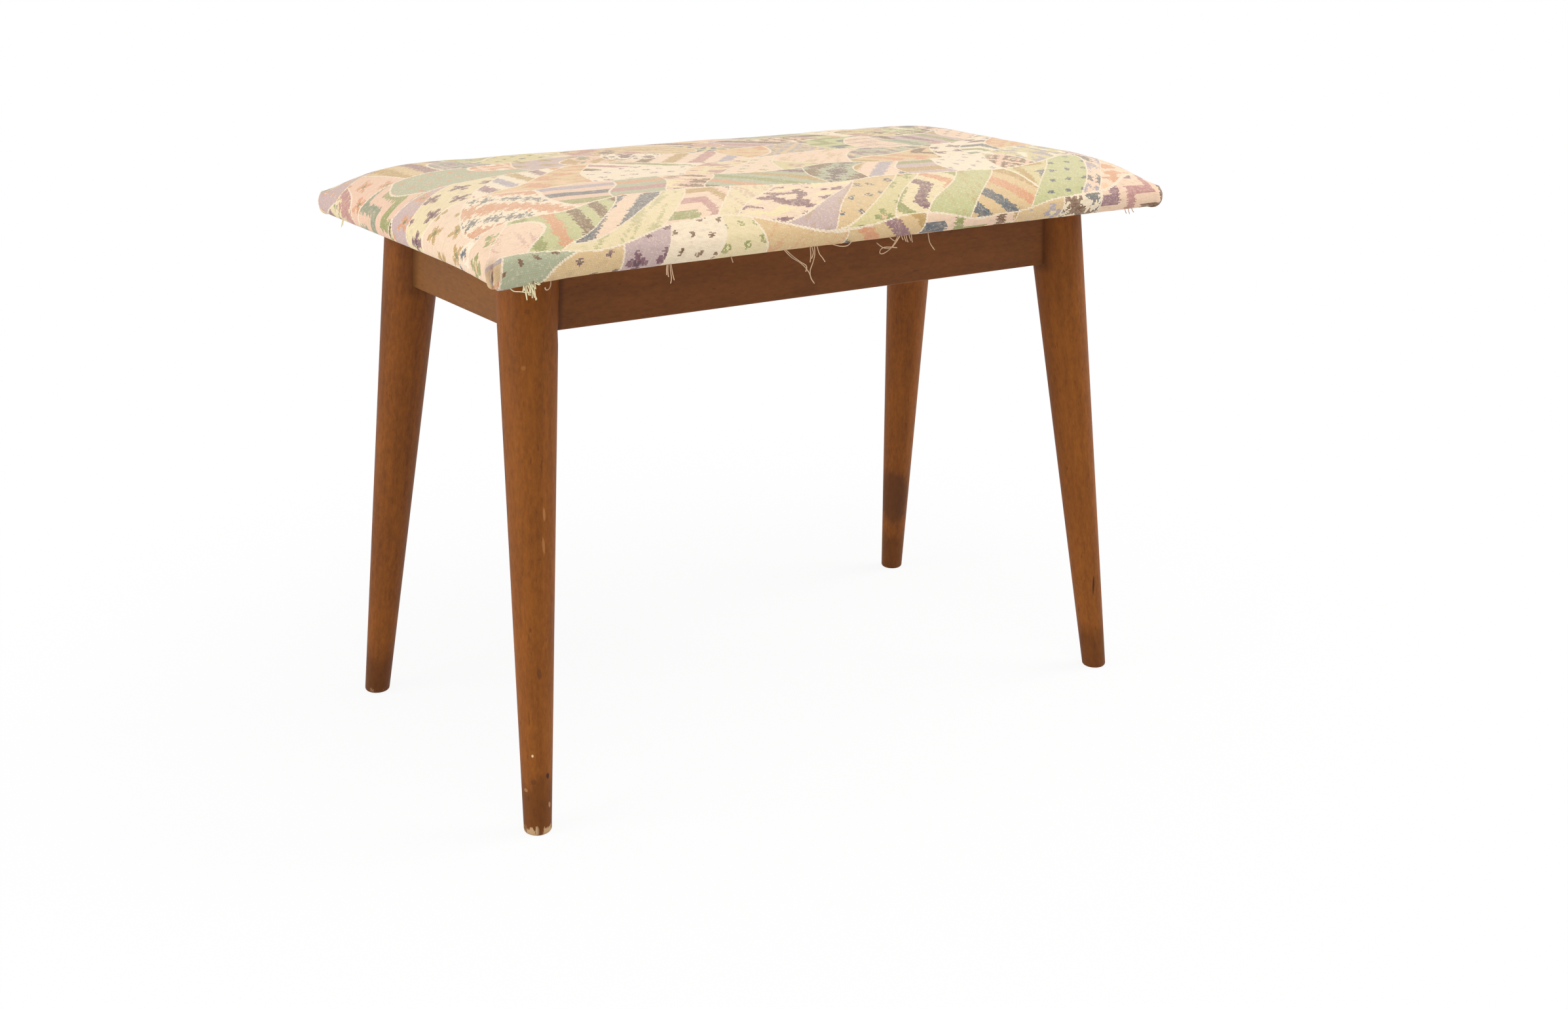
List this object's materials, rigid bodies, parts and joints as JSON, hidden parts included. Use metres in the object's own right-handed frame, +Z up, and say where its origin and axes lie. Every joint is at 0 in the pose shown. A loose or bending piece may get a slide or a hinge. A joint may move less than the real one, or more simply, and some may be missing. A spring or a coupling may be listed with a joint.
{
  "type": "upholstered stool",
  "caption": "Low rectangular stool with splayed, tapered turned legs, flat rails between them and a crowned, padded seat covered in patchwork-patterned tapestry.",
  "frame": {"origin": "on the floor, under the centre of the seat", "axes": "+X along the seat's long side, towards the right legs; +Y towards the back legs; +Z up"},
  "size_m": [0.568, 0.299, 0.42],
  "materials": {
    "leg_wood": "satin",
    "apron_wood": "satin",
    "dowel_wood": "matte",
    "block_wood": "matte",
    "plywood": "matte",
    "foam": "matte",
    "tapestry": "matte",
    "screw_steel": "satin",
    "staple_steel": "satin"
  },
  "bodies": {
    "root": {"leg_front_left": "leg_wood", "leg_front_right": "leg_wood", "leg_back_left": "leg_wood", "leg_back_right": "leg_wood", "front_apron": "apron_wood", "back_apron": "apron_wood", "left_apron": "apron_wood", "right_apron": "apron_wood", "front_apron_dowels": "dowel_wood", "back_apron_dowels": "dowel_wood", "left_apron_dowels": "dowel_wood", "right_apron_dowels": "dowel_wood", "corner_block_front_left": "block_wood", "corner_block_front_right": "block_wood", "corner_block_back_left": "block_wood", "corner_block_back_right": "block_wood", "corner_block_screws": "screw_steel", "seat_screws": "screw_steel", "seat_board": "plywood", "foam_pad": "foam", "seat_cover": "tapestry", "cover_staples": "staple_steel"}
  },
  "joints": []
}
